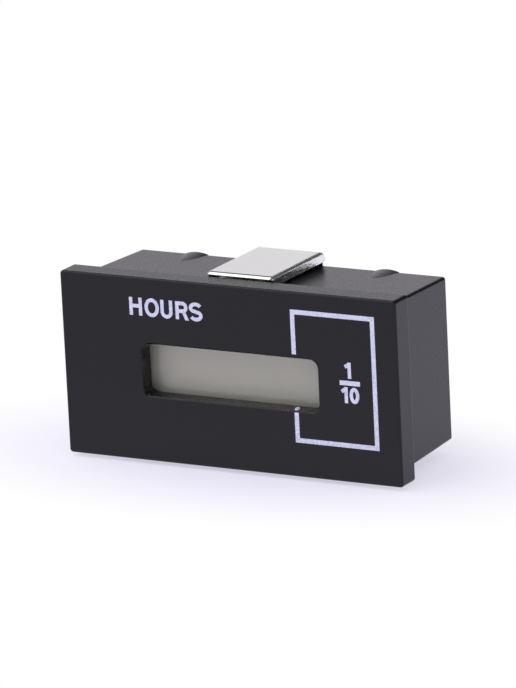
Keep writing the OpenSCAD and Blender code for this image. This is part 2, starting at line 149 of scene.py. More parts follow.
def start_material(name):
    """An empty material, its node tree and the piece's own coordinates."""
    material = bpy.data.materials.new(name)
    material.use_nodes = True
    tree = material.node_tree
    tree.nodes.clear()
    place = add_node(tree, "ShaderNodeTexCoord").outputs["Object"]
    return material, tree, place


def finish_material(material, shader):
    """Links the shader to the material's output."""
    add_node(material.node_tree, "ShaderNodeOutputMaterial", sockets={"Surface": shader})
    return material


def dress(material, *names):
    """Gives CAD nodes their finish."""
    for name in names:
        nodes[name].data.materials.clear()
        nodes[name].data.materials.append(material)
    print(f"{material.name}: {', '.join(names)}")


# %% [markdown]
# The case is moulded in black ABS. The mould was spark-eroded, so the plastic has a fine, even matt
# grain: it looks black when seen straight on and grey when seen at a low angle, where every plastic
# reflects more. A base colour, a medium roughness and a faint grain in the normals give that without
# any painting. The real grain is about 0.05 mm, too fine to show, so it is drawn a few times coarser.
# Its pits swallow part of the sheen, so the specular level is below the usual 0.5.

# %% Moulded black ABS
ABS_GRAIN_MM = 0.22
ABS_GRAIN_DEPTH_MM = 0.006
ABS_CLOUD_MM = 7
ABS_ROUGHNESS_SPREAD = 0.05
ABS_IOR = 1.53
ABS_SHEEN = 0.31


def moulded_abs(name, dark, light, roughness, depth_mm):
    """Matt moulded plastic: soft clouds in the colour, fine grain in roughness and normals."""
    material, tree, place = start_material(name)
    clouds = add_node(tree, "ShaderNodeTexNoise", sockets={
        "Vector": place, "Scale": scale_of(ABS_CLOUD_MM), "Detail": 4, "Roughness": 0.6,
    })
    grain = add_node(tree, "ShaderNodeTexNoise", sockets={
        "Vector": place, "Scale": scale_of(ABS_GRAIN_MM), "Detail": 3, "Roughness": 0.55,
    })
    colour = add_node(tree, "ShaderNodeMix", {"data_type": "RGBA"}, {
        FACTOR: clouds.outputs["Fac"], COLOUR_A: linear(dark), COLOUR_B: linear(light),
    })
    matt = add_node(tree, "ShaderNodeMapRange", sockets={
        "Value": grain.outputs["Fac"], "From Min": NOISE_LOW, "From Max": NOISE_HIGH,
        "To Min": roughness - ABS_ROUGHNESS_SPREAD, "To Max": roughness + ABS_ROUGHNESS_SPREAD,
    })
    bump = add_node(tree, "ShaderNodeBump", sockets={
        "Height": grain.outputs["Fac"], "Strength": 1, "Distance": depth_mm * MM,
    })
    plastic = add_node(tree, "ShaderNodeBsdfPrincipled", sockets={
        "Base Color": colour.outputs[COLOUR_OUT], "Roughness": matt.outputs[0],
        "Normal": bump.outputs[0], "IOR": ABS_IOR, "Specular IOR Level": ABS_SHEEN,
    })
    return finish_material(material, plastic.outputs[0])


case_abs = moulded_abs("matt_black_abs", "#06050A", "#0B0A10", 0.3, ABS_GRAIN_DEPTH_MM)
cover_abs = moulded_abs("satin_black_abs", "#121114", "#18171A", 0.38, ABS_GRAIN_DEPTH_MM / 2)
dress(case_abs, "front_case")
dress(cover_abs, "rear_cover")

# %% [markdown]
# The clip is stamped from bright spring steel. The sheet was rolled, which leaves hair-fine lines
# along it, and then polished, so it mirrors the white studio and its rolled edges catch the light as
# a bright line. The lines are a noise that is stretched along the arms. They are 0.08 mm apart here,
# a little coarser than on real sheet. Folding stretches the steel and leaves a fine peel like that of
# an orange on the bent-down flanks, so near the clip's side edges a second noise breaks up the mirror
# and the polish is duller. It is drawn coarser than the real peel, so that it shows.

# %% Polished clip steel
ROLL_LINE_MM = 0.08
ROLL_LINE_STRETCH = 40
ROLL_LINE_DEPTH_MM = 0.0004
STEEL_CLOUD_MM = 3
STEEL_HAZE_LOW = 0.12
STEEL_HAZE_HIGH = 0.2
PEEL_MM = 0.35
PEEL_DEPTH_MM = 0.075
PEEL_HAZE = 0.12
PEEL_STARTS_INSIDE_MM = 0.45
PEEL_FULL_INSIDE_MM = 0.15

clip_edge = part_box("mounting_clip")[1].x


def polished_sheet():
    """Bright rolled steel: fine lines along Y on the flats, a peel on the bent-down flanks."""
    material, tree, place = start_material("polished_spring_steel")
    across = add_node(tree, "ShaderNodeSeparateXYZ", sockets={0: place}).outputs["X"]
    aside = add_node(tree, "ShaderNodeMath", {"operation": "ABSOLUTE"}, {0: across})
    flank = add_node(tree, "ShaderNodeMapRange", {"interpolation_type": "SMOOTHSTEP"}, {
        "Value": aside.outputs[0],
        "From Min": clip_edge - PEEL_STARTS_INSIDE_MM * MM,
        "From Max": clip_edge - PEEL_FULL_INSIDE_MM * MM,
    })
    peel = add_node(tree, "ShaderNodeTexNoise", sockets={
        "Vector": place, "Scale": scale_of(PEEL_MM), "Detail": 2,
    })
    peel_bump = add_node(tree, "ShaderNodeBump", sockets={
        "Height": peel.outputs["Fac"], "Strength": flank.outputs[0], "Distance": PEEL_DEPTH_MM * MM,
    })
    stretched = add_node(tree, "ShaderNodeMapping", sockets={
        "Vector": place, "Scale": (1, 1 / ROLL_LINE_STRETCH, 1),
    })
    lines = add_node(tree, "ShaderNodeTexNoise", sockets={
        "Vector": stretched.outputs[0], "Scale": scale_of(ROLL_LINE_MM), "Detail": 2,
    })
    clouds = add_node(tree, "ShaderNodeTexNoise", sockets={
        "Vector": place, "Scale": scale_of(STEEL_CLOUD_MM), "Detail": 4,
    })
    colour = add_node(tree, "ShaderNodeMix", {"data_type": "RGBA"}, {
        FACTOR: clouds.outputs["Fac"], COLOUR_A: linear("#DCDFD7"), COLOUR_B: linear("#E6E9E1"),
    })
    haze = add_node(tree, "ShaderNodeMapRange", sockets={
        "Value": clouds.outputs["Fac"], "From Min": NOISE_LOW, "From Max": NOISE_HIGH,
        "To Min": STEEL_HAZE_LOW, "To Max": STEEL_HAZE_HIGH,
    })
    hazier = add_node(tree, "ShaderNodeMath", {"operation": "MULTIPLY_ADD"}, {
        0: flank.outputs[0], 1: PEEL_HAZE, 2: haze.outputs[0],
    })
    bump = add_node(tree, "ShaderNodeBump", sockets={
        "Height": lines.outputs["Fac"], "Strength": 1, "Distance": ROLL_LINE_DEPTH_MM * MM,
        "Normal": peel_bump.outputs[0],
    })
    steel = add_node(tree, "ShaderNodeBsdfPrincipled", sockets={
        "Base Color": colour.outputs[COLOUR_OUT], "Metallic": 1, "Roughness": hazier.outputs[0],
        "Normal": bump.outputs[0],
    })
    return finish_material(material, steel.outputs[0])


dress(polished_sheet(), "mounting_clip")

# %% [markdown]
# The blades are brass with a coat of tin: pale, slightly warm and duller than the clip. Tin creeps
# and dulls in patches, so both the colour and the roughness follow one slow noise.

# %% Tin-plated brass
TIN_PATCH_MM = 1.2
TIN_BRIGHT = 0.26
TIN_DULL = 0.4


def tinned_brass():
    """Dull bright tin with a trace of the brass below it."""
    material, tree, place = start_material("tin_plated_brass")
    patches = add_node(tree, "ShaderNodeTexNoise", sockets={
        "Vector": place, "Scale": scale_of(TIN_PATCH_MM), "Detail": 5,
    })
    colour = add_node(tree, "ShaderNodeMix", {"data_type": "RGBA"}, {
        FACTOR: patches.outputs["Fac"], COLOUR_A: linear("#B9B5A6"), COLOUR_B: linear("#CFCCC2"),
    })
    dull = add_node(tree, "ShaderNodeMapRange", sockets={
        "Value": patches.outputs["Fac"], "From Min": NOISE_LOW, "From Max": NOISE_HIGH,
        "To Min": TIN_BRIGHT, "To Max": TIN_DULL,
    })
    tin = add_node(tree, "ShaderNodeBsdfPrincipled", sockets={
        "Base Color": colour.outputs[COLOUR_OUT], "Metallic": 1, "Roughness": dull.outputs[0],
    })
    return finish_material(material, tin.outputs[0])


dress(tinned_brass(), "left_terminal", "right_terminal")

# %% [markdown]
# The window is a plate of clear acrylic, and the display behind it has two thin glasses. A glass
# shader bends the view as the real plate does, but it would also keep the light off the display: it
# stops the lamps, and a mirror ray that starts behind several panes is cut short before it gets out.
# So a pane is fully clear for shadow, diffuse and mirror rays, and glass for what the eye sees.

# %% Clear plate and glass
def clear_pane(name, colour, ior, roughness):
    """Glass to the eye, and no obstacle to the light."""
    material, tree = start_material(name)[:2]
    path = add_node(tree, "ShaderNodeLightPath")
    lighting = add_node(tree, "ShaderNodeMath", {"operation": "MAXIMUM"}, {
        0: path.outputs["Is Shadow Ray"], 1: path.outputs["Is Diffuse Ray"],
    })
    passing = add_node(tree, "ShaderNodeMath", {"operation": "MAXIMUM"}, {
        0: lighting.outputs[0], 1: path.outputs["Is Glossy Ray"],
    })
    glass = add_node(tree, "ShaderNodeBsdfPrincipled", sockets={
        "Base Color": linear(colour), "Roughness": roughness, "IOR": ior,
        "Transmission Weight": 1,
    })
    clear = add_node(tree, "ShaderNodeBsdfTransparent", sockets={"Color": linear(colour)})
    pane = add_node(tree, "ShaderNodeMixShader", sockets={
        0: passing.outputs[0], 1: glass.outputs[0], 2: clear.outputs[0],
    })
    return finish_material(material, pane.outputs[0])


dress(clear_pane("clear_acrylic_plate", "#FCFDFD", 1.49, 0.03), "display_window")
dress(clear_pane("display_glass", "#E9EEEA", 1.52, 0.02), "display_front_glass", "display_rear_glass")

# %% [markdown]
# With no power, the display is a plain grey field with a trace of green: light passes the front
# polariser, comes back from the silvered reflector and passes the polariser again. What the eye sees
# is the film, so the film is a satin grey with some of the reflector's metal gloss and the faint
# sparkle of its grain, drawn about twice as coarse as it is. The gloss mirrors the black walls of the
# window, which is why the field darkens softly at its left end and along its lower edge.

# %% Polariser film and reflector
SPARKLE_MM = 0.12
SPARKLE_SHARE = 0.25
FILM_CLOUD_MM = 9
FILM_IOR = 1.5


def satin_film(name, dark, light, metal, roughness):
    """Grey film with slow clouds, a fine sparkle and a share of metal gloss."""
    material, tree, place = start_material(name)
    sparkle = add_node(tree, "ShaderNodeTexNoise", sockets={
        "Vector": place, "Scale": scale_of(SPARKLE_MM), "Detail": 2,
    })
    clouds = add_node(tree, "ShaderNodeTexNoise", sockets={
        "Vector": place, "Scale": scale_of(FILM_CLOUD_MM), "Detail": 3,
    })
    shade = add_node(tree, "ShaderNodeMix", {"data_type": "FLOAT"}, {
        FACTOR: SPARKLE_SHARE, NUMBER_A: clouds.outputs["Fac"], NUMBER_B: sparkle.outputs["Fac"],
    })
    colour = add_node(tree, "ShaderNodeMix", {"data_type": "RGBA"}, {
        FACTOR: shade.outputs[0], COLOUR_A: linear(dark), COLOUR_B: linear(light),
    })
    film = add_node(tree, "ShaderNodeBsdfPrincipled", sockets={
        "Base Color": colour.outputs[COLOUR_OUT], "Metallic": metal, "Roughness": roughness,
        "IOR": FILM_IOR,
    })
    return finish_material(material, film.outputs[0])


dress(satin_film("polariser_film", "#DBD7C7", "#E3DFCF", 0.35, 0.45), "display_film")
dress(satin_film("reflector_film", "#8F8D86", "#A19F98", 1, 0.35), "display_reflector")

# %% [markdown]
# The legends are screen-printed in a thin, slightly blue white ink: the word HOURS, a line frame round
# the tenths and the fraction 1/10. A pen draws the middle line of each stroke with bmesh operators:
# lines are extruded vertices and bends are spun ones. The lines are then drawn out to a ribbon as
# deep as the ink, and a Solidify modifier gives the ribbon the stroke's width. That keeps every
# stroke equally wide, which a scaled font would not.

# %% Pen for the printed legends
INK_PROUD_MM = 0.012
INK_SUNK_MM = 0.01
STROKE_LIFT_MM = 0.0008
ARC_STEP = math.radians(10)
OVAL_SEGMENTS = 40
INTO_FACE = Vector((0, 1, 0))


class Pen:
    """Draws stroke middle lines on the face, in millimetres from the face's centre.

    Each stroke lies a trace higher than the last, so that no two faces share one plane.
    """

    def __init__(self):
        self.mesh = bmesh.new()
        self.tip = None
        self.level = 0

    def move(self, x, z):
        """Starts a new stroke here."""
        self.level -= STROKE_LIFT_MM
        self.tip = self.mesh.verts.new(Vector((x, self.level, z)) * MM)
        return self

    def line(self, x, z):
        """Draws a straight line to here."""
        grown = bmesh.ops.extrude_vert_indiv(self.mesh, verts=[self.tip])
        self.tip = grown["verts"][0]
        self.tip.co = Vector((x, self.level, z)) * MM
        return self

    def bend(self, x, z, degrees):
        """Turns round a centre, clockwise for a viewer of the face where degrees are negative."""
        angle = -math.radians(degrees)
        spun = bmesh.ops.spin(
            self.mesh, geom=[self.tip], cent=Vector((x, 0, z)) * MM, axis=INTO_FACE,
            angle=angle, steps=max(2, round(abs(angle) / ARC_STEP)),
        )
        self.tip = next(g for g in spun["geom_last"] if isinstance(g, bmesh.types.BMVert))
        return self

    def oval(self, x, z, w, h):
        """A closed oval of this middle-line width and height."""
        self.level -= STROKE_LIFT_MM
        flat = Matrix.Rotation(math.pi / 2, 4, "X")
        size = Matrix.Diagonal((w / 2 * MM, 1, h / 2 * MM, 1))
        place = Matrix.Translation(Vector((x, self.level, z)) * MM)
        bmesh.ops.create_circle(
            self.mesh, segments=OVAL_SEGMENTS, radius=1, matrix=place @ size @ flat
        )
        return self

    def widen(self, first, x, share):
        """Stretches the lines from vertex number first sideways, about x."""
        self.mesh.verts.ensure_lookup_table()
        about = Matrix.Translation((-x * MM, 0, 0))
        bmesh.ops.scale(self.mesh, verts=self.mesh.verts[first:], vec=(share, 1, 1), space=about)
        return self

    def ribbon(self):
        """Draws the lines out to the depth of the ink, on the face."""
        drawn = bmesh.ops.extrude_edge_only(self.mesh, edges=list(self.mesh.edges))
        new = [g for g in drawn["geom"] if isinstance(g, bmesh.types.BMVert)]
        bmesh.ops.translate(self.mesh, verts=new, vec=INTO_FACE * (INK_PROUD_MM + INK_SUNK_MM) * MM)
        on_face = Vector((0, face_y - INK_PROUD_MM * MM, 0))
        bmesh.ops.translate(self.mesh, verts=self.mesh.verts, vec=on_face)

    def ink(self, name, stroke_mm, material, foot=None):
        """Makes the drawn lines a printed piece. What reaches below foot is cut off."""
        self.ribbon()
        lines = bpy.data.meshes.new(name + "_lines")
        self.mesh.to_mesh(lines)
        self.mesh.free()
        piece = bpy.data.objects.new(name, lines)
        bpy.context.scene.collection.objects.link(piece)
        width = piece.modifiers.new("stroke", "SOLIDIFY")
        width.thickness = stroke_mm * MM
        width.offset = 0
        width.use_even_offset = True
        solid = bmesh.new()
        solid.from_object(piece, bpy.context.evaluated_depsgraph_get())
        piece.modifiers.clear()
        if foot is not None:
            everything = [*solid.verts, *solid.edges, *solid.faces]
            cut = bmesh.ops.bisect_plane(
                solid, geom=everything, plane_co=(0, 0, foot * MM), plane_no=(0, 0, -1),
                clear_outer=True,
            )
            rims = [g for g in cut["geom_cut"] if isinstance(g, bmesh.types.BMEdge)]
            bmesh.ops.holes_fill(solid, edges=rims)
        bmesh.ops.recalc_face_normals(solid, faces=solid.faces)
        piece.data = bpy.data.meshes.new(name)
        solid.to_mesh(piece.data)
        solid.free()
        piece.data.materials.append(material)
        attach(piece, "meter")
        print(f"{name}: {len(piece.data.polygons)} faces, strokes {stroke_mm} mm wide")


# %% [markdown]
# The ink is an opaque two-part white with a little blue in it. Screen printing leaves a soft mottle
# where the mesh has held back some ink, so the white varies over a third of a millimetre.

# %% Screen-printing ink
INK_MOTTLE_MM = 0.3
INK_ROUGHNESS = 0.55
INK_IOR = 1.5


def printed_ink():
    """Bluish white ink with a faint mottle."""
    material, tree, place = start_material("white_screen_ink")
    mottle = add_node(tree, "ShaderNodeTexNoise", sockets={
        "Vector": place, "Scale": scale_of(INK_MOTTLE_MM), "Detail": 4,
    })
    cover = add_node(tree, "ShaderNodeMapRange", sockets={
        "Value": mottle.outputs["Fac"], "From Min": NOISE_LOW, "From Max": NOISE_HIGH,
    })
    colour = add_node(tree, "ShaderNodeMix", {"data_type": "RGBA"}, {
        FACTOR: cover.outputs[0], COLOUR_A: linear("#BFC6E3"), COLOUR_B: linear("#E4E8F7"),
    })
    coat = add_node(tree, "ShaderNodeBsdfPrincipled", sockets={
        "Base Color": colour.outputs[COLOUR_OUT], "Roughness": INK_ROUGHNESS, "IOR": INK_IOR,
    })
    return finish_material(material, coat.outputs[0])


ink = printed_ink()
print(f"{ink.name}: {INK_PROUD_MM} mm above the face, and {STROKE_LIFT_MM} mm more with each stroke")

# %% [markdown]
# HOURS is set in a plain bold grotesque, 2.33 mm high. The letters stand side by side, each with its
# own width and gap, and their middle lines stay half a stroke inside that width. Round letters reach
# a trace past the base line and the cap line, because they would look too small without it.

# %% The letters H, O and U
WORD_LEFT = -13.97
WORD_BASE = 7.05
WORD_HEIGHT = 2.33
WORD_STROKE = 0.48
WORD_OVERSHOOT = 0.06
LETTER_WIDTHS = {"H": 1.84, "O": 2.08, "U": 1.73, "R": 1.86, "S": 1.91}
LETTER_GAPS = {"H": 0.37, "O": 0.23, "U": 0.43, "R": 0.12, "S": 0}
H_BAR_SHARE = 0.53

half = WORD_STROKE / 2
top = WORD_BASE + WORD_HEIGHT
middle = WORD_BASE + WORD_HEIGHT / 2
spans = {}
letter_x = WORD_LEFT
for letter, width in LETTER_WIDTHS.items():
    spans[letter] = (letter_x + half, letter_x + width - half)
    letter_x += width + LETTER_GAPS[letter]
print(f"HOURS is {letter_x - WORD_LEFT:.2f} mm long")

word = Pen()
near, far = spans["H"]
bar = WORD_BASE + H_BAR_SHARE * WORD_HEIGHT
word.move(near, WORD_BASE).line(near, top)
word.move(far, WORD_BASE).line(far, top)
word.move(near + half, bar).line(far - half, bar)

near, far = spans["O"]
word.oval((near + far) / 2, middle, far - near, WORD_HEIGHT - WORD_STROKE + 2 * WORD_OVERSHOOT)

near, far = spans["U"]
u_radius = (far - near) / 2
low = WORD_BASE + half - WORD_OVERSHOOT + u_radius
word.move(near, top).line(near, low).bend(near + u_radius, low, 180).line(far, top)

# %% [markdown]
# The leg of the R runs past the base line and is cut off there, so that it ends flat as the printed
# one does. The S is two bowls that turn opposite ways, joined by a slanting spine and then widened
# together: arcs of a circle stay smooth when they are stretched, and no curve has to be plotted.

# %% The letters R and S
R_BOWL_RADIUS = 0.5
R_BOWL_INSET = 0.1
R_LEG_SPREAD = 0.5
S_START = 25
S_SWEEP = 205

near, far = spans["R"]
turn_x = far - R_BOWL_INSET - R_BOWL_RADIUS
waist = top - half - 2 * R_BOWL_RADIUS
word.move(near, WORD_BASE).line(near, top)
word.move(near + half, top - half).line(turn_x, top - half)
word.bend(turn_x, top - half - R_BOWL_RADIUS, -180).line(near + half, waist)
leg_slope = R_LEG_SPREAD / (waist - WORD_BASE)
word.move(far - R_LEG_SPREAD, waist).line(far + half * leg_slope, WORD_BASE - half)

near, far = spans["S"]
bowl = (WORD_HEIGHT - WORD_STROKE + 2 * WORD_OVERSHOOT) / 4
first = len(word.mesh.verts)
start = math.radians(S_START)
spine = math.radians(S_START + S_SWEEP)
centre_x = (near + far) / 2
word.move(centre_x + bowl * math.cos(start), middle + bowl + bowl * math.sin(start))
word.bend(centre_x, middle + bowl, S_SWEEP)
word.line(centre_x - bowl * math.cos(spine), middle - bowl - bowl * math.sin(spine))
word.bend(centre_x, middle - bowl, -S_SWEEP)
word.widen(first, centre_x, (far - near) / 2 / bowl)
word.ink("hours_legend", WORD_STROKE, ink, foot=WORD_BASE - WORD_OVERSHOOT)

# %% [markdown]
# A line frame sets the last digit apart as tenths. It runs round the right end of the window and
# stops short of the opening on its left side. Beside the digit stands the fraction 1/10. Its bar is as
# heavy as the frame, so one pen draws both, and the digits have a lighter stroke.

# %% Line frame and fraction
FRAME_LEFT = 9.13
FRAME_RIGHT = 20.95
FRAME_TOP = 9.73
FRAME_BOTTOM = -7.48
FRAME_STROKE = 0.6
FRAME_UPPER_END = 3.95
FRAME_LOWER_END = -3.6
FRACTION_X = 17.17
FRACTION_STROKE = 0.47
DIGIT_HEIGHT = 2.08
UPPER_BASE = 1.5
LOWER_BASE = -1.7
BAR_HALF = 1.43
BAR_Z = 0.9
FLAG_REACH = 0.62
FLAG_DROP = 0.62
TEN_SPREAD = 0.58
ZERO_WIDTH = 1.36

line_half = FRAME_STROKE / 2
line_left = FRAME_LEFT + line_half
line_right = FRAME_RIGHT - line_half
line_top = FRAME_TOP - line_half
line_bottom = FRAME_BOTTOM + line_half
border = Pen()
border.move(line_left, FRAME_UPPER_END).line(line_left, line_top).line(line_right, line_top)
border.line(line_right, line_bottom).line(line_left, line_bottom).line(line_left, FRAME_LOWER_END)
border.move(FRACTION_X - BAR_HALF, BAR_Z).line(FRACTION_X + BAR_HALF, BAR_Z)
border.ink("frame_and_bar", FRAME_STROKE, ink)


def digit_one(pen, x, base):
    """A stem with a flag at its upper left."""
    head = base + DIGIT_HEIGHT
    pen.move(x, base).line(x, head)
    pen.move(x, head - FRACTION_STROKE / 2).line(x - FLAG_REACH, head - FLAG_DROP)


fraction = Pen()
digit_one(fraction, FRACTION_X, UPPER_BASE)
digit_one(fraction, FRACTION_X - TEN_SPREAD, LOWER_BASE)
fraction.oval(
    FRACTION_X + TEN_SPREAD, LOWER_BASE + DIGIT_HEIGHT / 2,
    ZERO_WIDTH - FRACTION_STROKE, DIGIT_HEIGHT - FRACTION_STROKE,
)
fraction.ink("fraction_digits", FRACTION_STROKE, ink)

# %% [markdown]
# Where the frame meets the window, a drop of ink has run over the edge and dried on the lower wall
# of the opening. It is a low rounded drop: an oval disc, drawn up and bevelled round its upper rim.
# Its foot is sunk a trace into the wall, so that the two never share one plane.

# %% Blot of ink on the window's lower wall
BLOT_X = 9.2
BLOT_DEPTH = 0.72
BLOT_LENGTH = 0.66
BLOT_WIDTH = 0.9
BLOT_THICK = 0.3
BLOT_SUNK = 0.01
BLOT_ROUND_SHARE = 0.8
BLOT_SEGMENTS = 24
BLOT_RIM_STEPS = 3
WINDOW_HEIGHT = 6.85

blot_mesh = bmesh.new()
blot_size = Matrix.Diagonal((BLOT_LENGTH / 2 * MM, BLOT_WIDTH / 2 * MM, 1, 1))
blot_foot = -WINDOW_HEIGHT / 2 - BLOT_SUNK
blot_place = Matrix.Translation((BLOT_X * MM, face_y + BLOT_DEPTH * MM, blot_foot * MM))
bmesh.ops.create_circle(
    blot_mesh, cap_ends=True, segments=BLOT_SEGMENTS, radius=1, matrix=blot_place @ blot_size
)
raised = bmesh.ops.extrude_face_region(blot_mesh, geom=list(blot_mesh.faces))
raised_verts = [g for g in raised["geom"] if isinstance(g, bmesh.types.BMVert)]
bmesh.ops.translate(blot_mesh, verts=raised_verts, vec=(0, 0, BLOT_THICK * MM))
rim = [e for e in blot_mesh.edges if all(v in raised_verts for v in e.verts)]
bmesh.ops.bevel(
    blot_mesh, geom=rim, offset=BLOT_ROUND_SHARE * BLOT_THICK * MM, affect="EDGES",
    segments=BLOT_RIM_STEPS, profile=0.5, material=-1,
)
bmesh.ops.recalc_face_normals(blot_mesh, faces=blot_mesh.faces)
blot = bpy.data.objects.new("ink_blot", bpy.data.meshes.new("ink_blot"))
blot_mesh.to_mesh(blot.data)
blot_mesh.free()
blot.data.materials.append(ink)
bpy.context.scene.collection.objects.link(blot)
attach(blot, "meter")
print(f"ink_blot: {len(blot.data.polygons)} faces")

# %% [markdown]
# Inside the case nothing shows, but each piece still gets its own finish, for anyone who takes the
# meter apart. Most of them are one base colour with small patches and a matching change of gloss, so
# one function serves for lacquer, plating, ceramic and epoxy.

# %% Pieces inside the case
def mottled(name, dark, light, patch_mm, gloss, **shader):
    """A finish whose colour and roughness follow one patchy noise."""
    material, tree, place = start_material(name)
    patches = add_node(tree, "ShaderNodeTexNoise", sockets={
        "Vector": place, "Scale": scale_of(patch_mm), "Detail": 4,
    })
    colour = add_node(tree, "ShaderNodeMix", {"data_type": "RGBA"}, {
        FACTOR: patches.outputs["Fac"], COLOUR_A: linear(dark), COLOUR_B: linear(light),
    })
    rough = add_node(tree, "ShaderNodeMapRange", sockets={
        "Value": patches.outputs["Fac"], "From Min": NOISE_LOW, "From Max": NOISE_HIGH,
        "To Min": gloss[0], "To Max": gloss[1],
    })
    surface = add_node(tree, "ShaderNodeBsdfPrincipled", sockets={
        "Base Color": colour.outputs[COLOUR_OUT], "Roughness": rough.outputs[0], **shader,
    })
    return finish_material(material, surface.outputs[0])


dress(moulded_abs("satin_pale_abs", "#D2D2CD", "#DCDCD8", 0.45, ABS_GRAIN_DEPTH_MM), "display_holder")
dress(mottled("moulded_epoxy", "#17171A", "#212124", 0.4, (0.25, 0.4)),
      "controller_chip", "bridge_rectifier", "pull_up_resistors")
dress(mottled("nickel_plating", "#BDBCBC", "#CDCCCB", 0.9, (0.2, 0.32), Metallic=1),
      "quartz_crystal", "backup_cell", "cell_negative_tab", "cell_positive_tab")
dress(mottled("fired_ceramic", "#B3946C", "#C3A780", 0.2, (0.55, 0.7)), "crystal_capacitors")
dress(mottled("pale_blue_lacquer", "#93ABB8", "#A8BDC8", 0.3, (0.2, 0.3)),
      "upper_dropper_resistor", "lower_dropper_resistor")
dress(mottled("drawn_aluminium", "#BFC0C2", "#D0D1D2", 0.5, (0.22, 0.34), Metallic=1),
      "filter_capacitor")

# %% [markdown]
# Two of them have a pattern that tells what they are. The contact strips are silicone with layers of
# carbon that carry the signals from the board to the glass: real layers are 0.05 mm, drawn here four
# times coarser. The circuit board is glass-fibre laminate under green lacquer, with the copper tracks
# showing as lighter lines. A wave texture of scale 1 repeats every 0.314 units, which the scale allows
# for.

# %% Contact strips and circuit board
STRIP_PITCH_MM = 0.4
TRACK_PITCH_MM = 1.27
WAVE_PERIOD = 0.314
WAVE_MIDDLE = 0.5


def striped(name, dark, light, pitch_mm, edge, roughness):
    """Stripes across X, as wide as the gaps between them."""
    material, tree, place = start_material(name)
    stripes = add_node(tree, "ShaderNodeTexWave", sockets={
        "Vector": place, "Scale": WAVE_PERIOD * scale_of(pitch_mm), "Distortion": 0,
    })
    sharp = add_node(tree, "ShaderNodeMapRange", sockets={
        "Value": stripes.outputs["Fac"],
        "From Min": WAVE_MIDDLE - edge, "From Max": WAVE_MIDDLE + edge,
    })
    colour = add_node(tree, "ShaderNodeMix", {"data_type": "RGBA"}, {
        FACTOR: sharp.outputs[0], COLOUR_A: linear(dark), COLOUR_B: linear(light),
    })
    surface = add_node(tree, "ShaderNodeBsdfPrincipled", sockets={
        "Base Color": colour.outputs[COLOUR_OUT], "Roughness": roughness,
    })
    return finish_material(material, surface.outputs[0])


dress(striped("layered_silicone", "#3B3234", "#C98F94", STRIP_PITCH_MM, 0.15, 0.6),
      "upper_contact_strip", "lower_contact_strip")
dress(striped("lacquered_laminate", "#245C3A", "#2F7047", TRACK_PITCH_MM, 0.08, 0.3), "circuit_board")

# %% [markdown]
# The studio floor is a sheet of pale paper. It keeps the meter's soft shadow and turns to plain white
# further away, sooner in front than at the sides. Near the meter the white glow is tinted violet, a
# painted shade round the meter on top of the paper's real shadow. The white is a glow that only the
# eye, the metal and the glass see, so it doesn't light the meter from below, as a lamp under the paper
# would. Such paper is brighter than white can show, and only its mirror image tells: there it is a
# little violet, and it glows more towards the backdrop, which lights it.

# %% Floor
WHITE = linear("#FFFFFF")
PAPER = "#F1F0FC"
FLOOR_PAINTED_SHADE_TINT = "#F2F0FF"
FLOOR_MIRROR_TINT = "#F3EEFF"
FLOOR_GLOW_FRONT_MM = -45
FLOOR_GLOW_BACK_MM = 45
FLOOR_GLOW_BACK = 1.2
FLOOR_REACH_MM = 900
FLOOR_MIDDLE_Y_MM = 4
FLOOR_SIDE_SHARE = 0.55
FLOOR_WHITE_FROM_MM = 8
FLOOR_WHITE_TO_MM = 30
FLOOR_NEAR_WHITE = 0.62

floor_mesh = bmesh.new()
floor_place = Matrix.Translation((0, 0, cad_low.z))
bmesh.ops.create_grid(
    floor_mesh, x_segments=1, y_segments=1, size=FLOOR_REACH_MM * MM, matrix=floor_place
)
floor = bpy.data.objects.new("floor", bpy.data.meshes.new("floor"))
floor_mesh.to_mesh(floor.data)
floor_mesh.free()
bpy.context.scene.collection.objects.link(floor)


